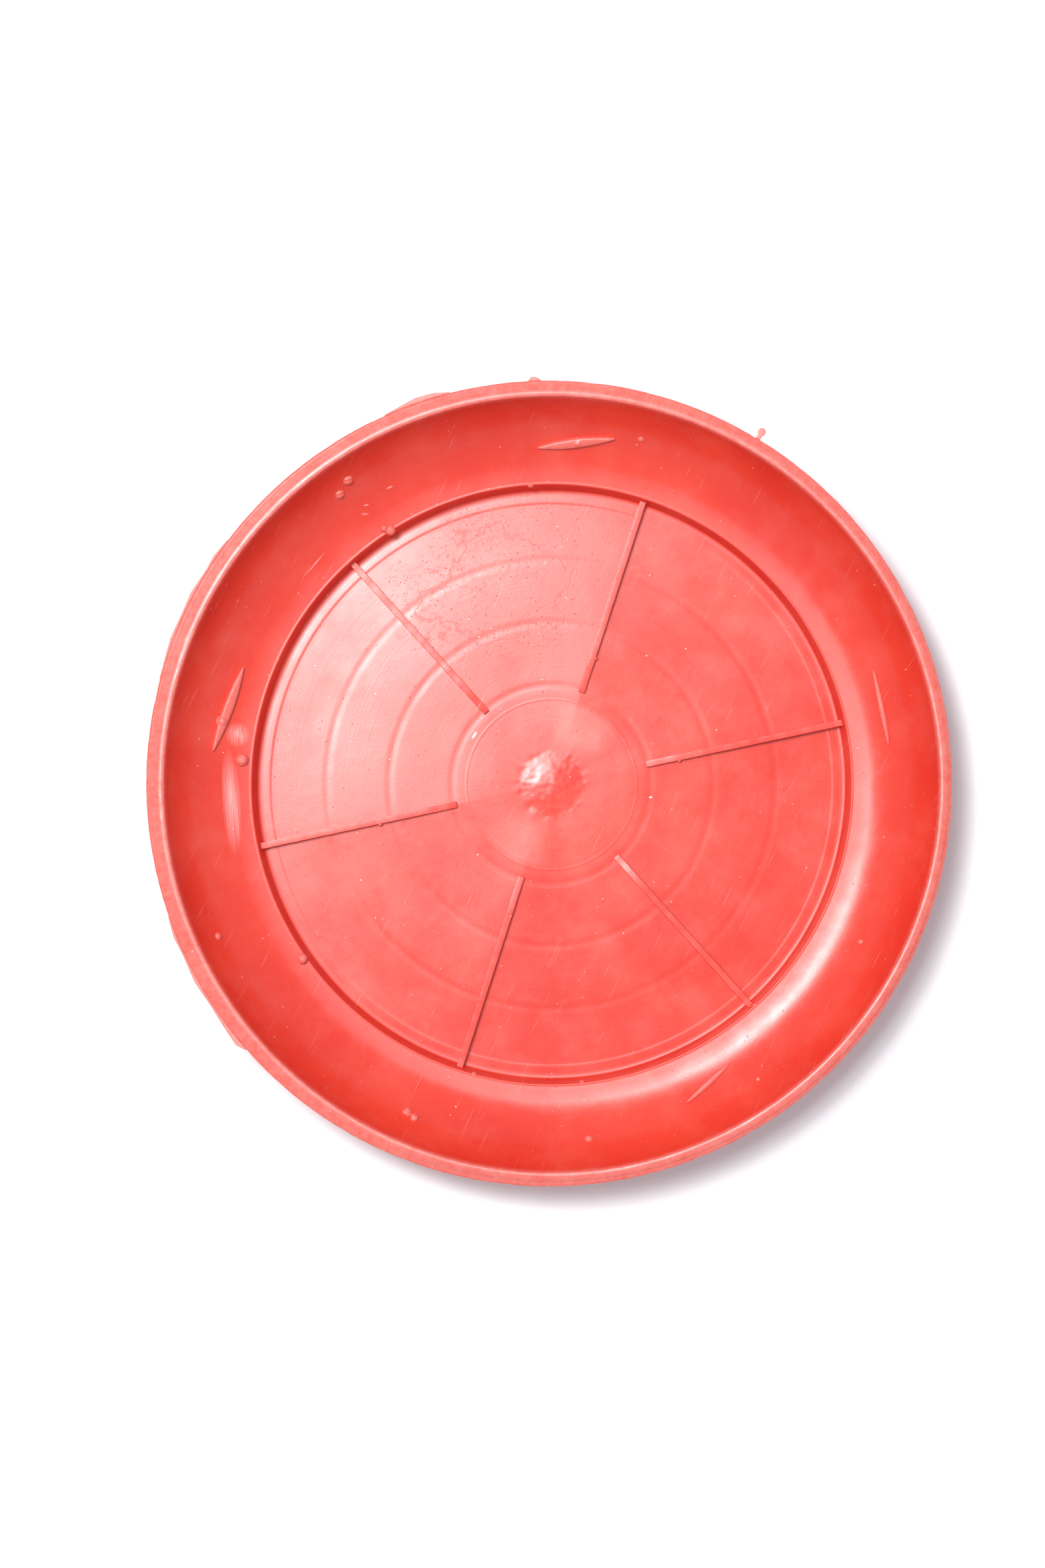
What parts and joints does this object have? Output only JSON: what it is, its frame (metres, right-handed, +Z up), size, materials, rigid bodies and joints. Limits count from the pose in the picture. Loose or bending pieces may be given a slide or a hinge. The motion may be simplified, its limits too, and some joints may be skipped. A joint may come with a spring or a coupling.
{
  "type": "poultry feeder pan",
  "caption": "Round shallow moulded plastic feed pan with a coved wall, stepped rim, foot ring and radial ribs on its floor.",
  "frame": {"origin": "centre of the pan on the plane that its foot ring rests on", "axes": "+Z up along the pan's axis of symmetry, +X along the first of the floor ribs"},
  "size_m": [0.25, 0.2509, 0.032],
  "materials": {
    "red_plastic": "glossy moulded polypropylene with scuffs and pitting"
  },
  "bodies": {
    "root": {"pan": "red_plastic", "wall_scar_top": "red_plastic", "wall_scar_left": "red_plastic", "wall_scar_right": "red_plastic", "wall_scar_bottom": "red_plastic", "wall_pips": "red_plastic", "slotted_pips": "red_plastic", "torn_pip": "red_plastic", "crest_pips": "red_plastic", "crest_twin_knob": "red_plastic", "crest_round_knob": "red_plastic", "rib_nubs": "red_plastic", "flash_tab": "red_plastic", "flash_nib": "red_plastic", "flash_leaf": "red_plastic", "flash_left": "red_plastic", "flash_lower_left": "red_plastic"}
  },
  "joints": []
}
